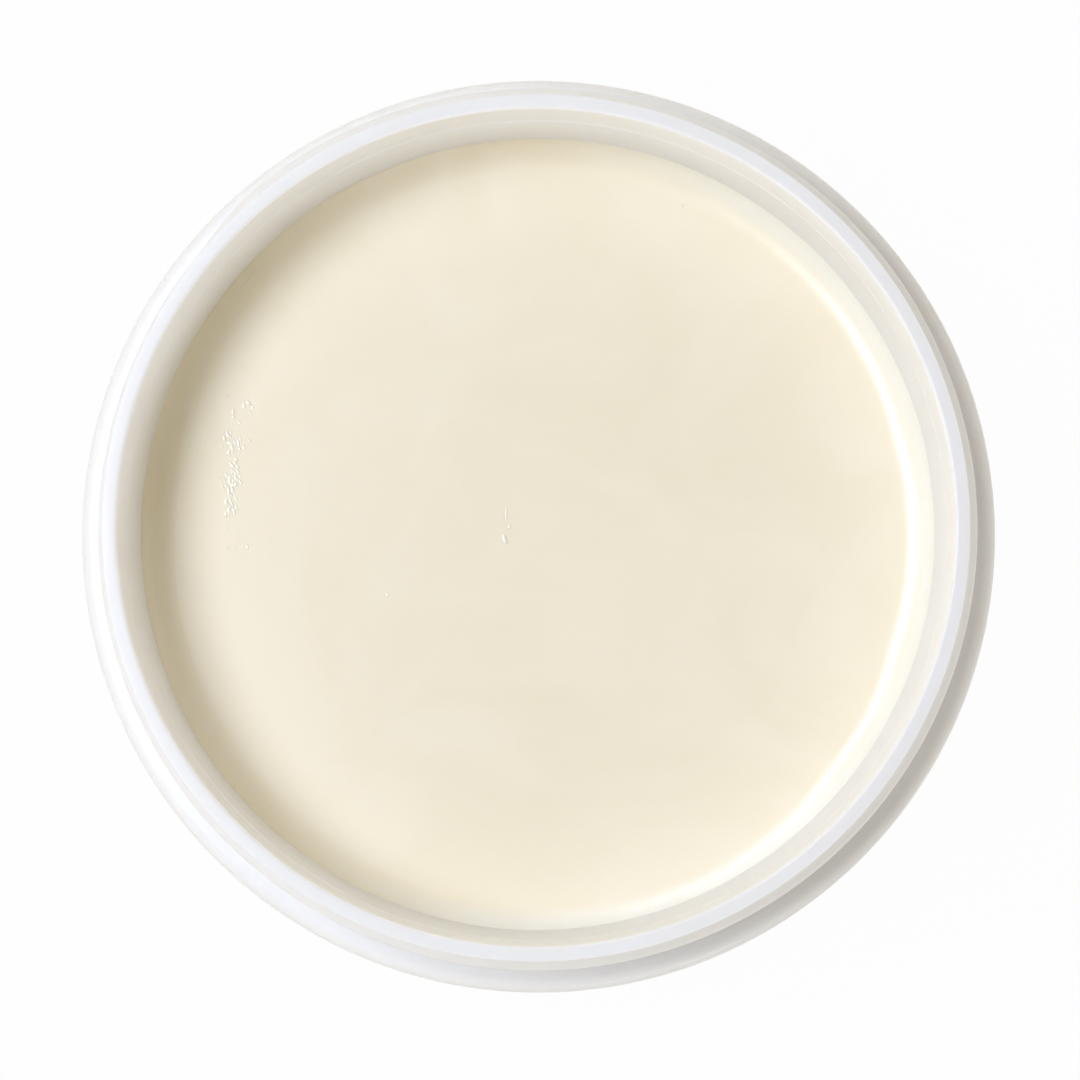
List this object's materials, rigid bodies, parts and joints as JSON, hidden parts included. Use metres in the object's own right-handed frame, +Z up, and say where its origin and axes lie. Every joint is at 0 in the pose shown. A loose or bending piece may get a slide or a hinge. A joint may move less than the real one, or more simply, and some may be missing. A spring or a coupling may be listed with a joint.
{
  "type": "jar of potato spread",
  "caption": "Open round white plastic jar with a wide screw neck, filled with a smooth, pale cream-coloured spread up to the foot of the neck.",
  "frame": {"origin": "on the jar's axis, in the plane that its foot ring stands on", "axes": "+Z up along the jar's axis, out of its mouth; +X and +Y are level, and the jar is the same all round"},
  "size_m": [0.0925, 0.0924, 0.0544],
  "materials": {
    "jar_plastic": "satin white polypropylene, slightly translucent",
    "spread": "smooth pale cream paste with a soft gloss"
  },
  "bodies": {
    "root": {"jar": "jar_plastic", "spread": "spread"}
  },
  "joints": []
}
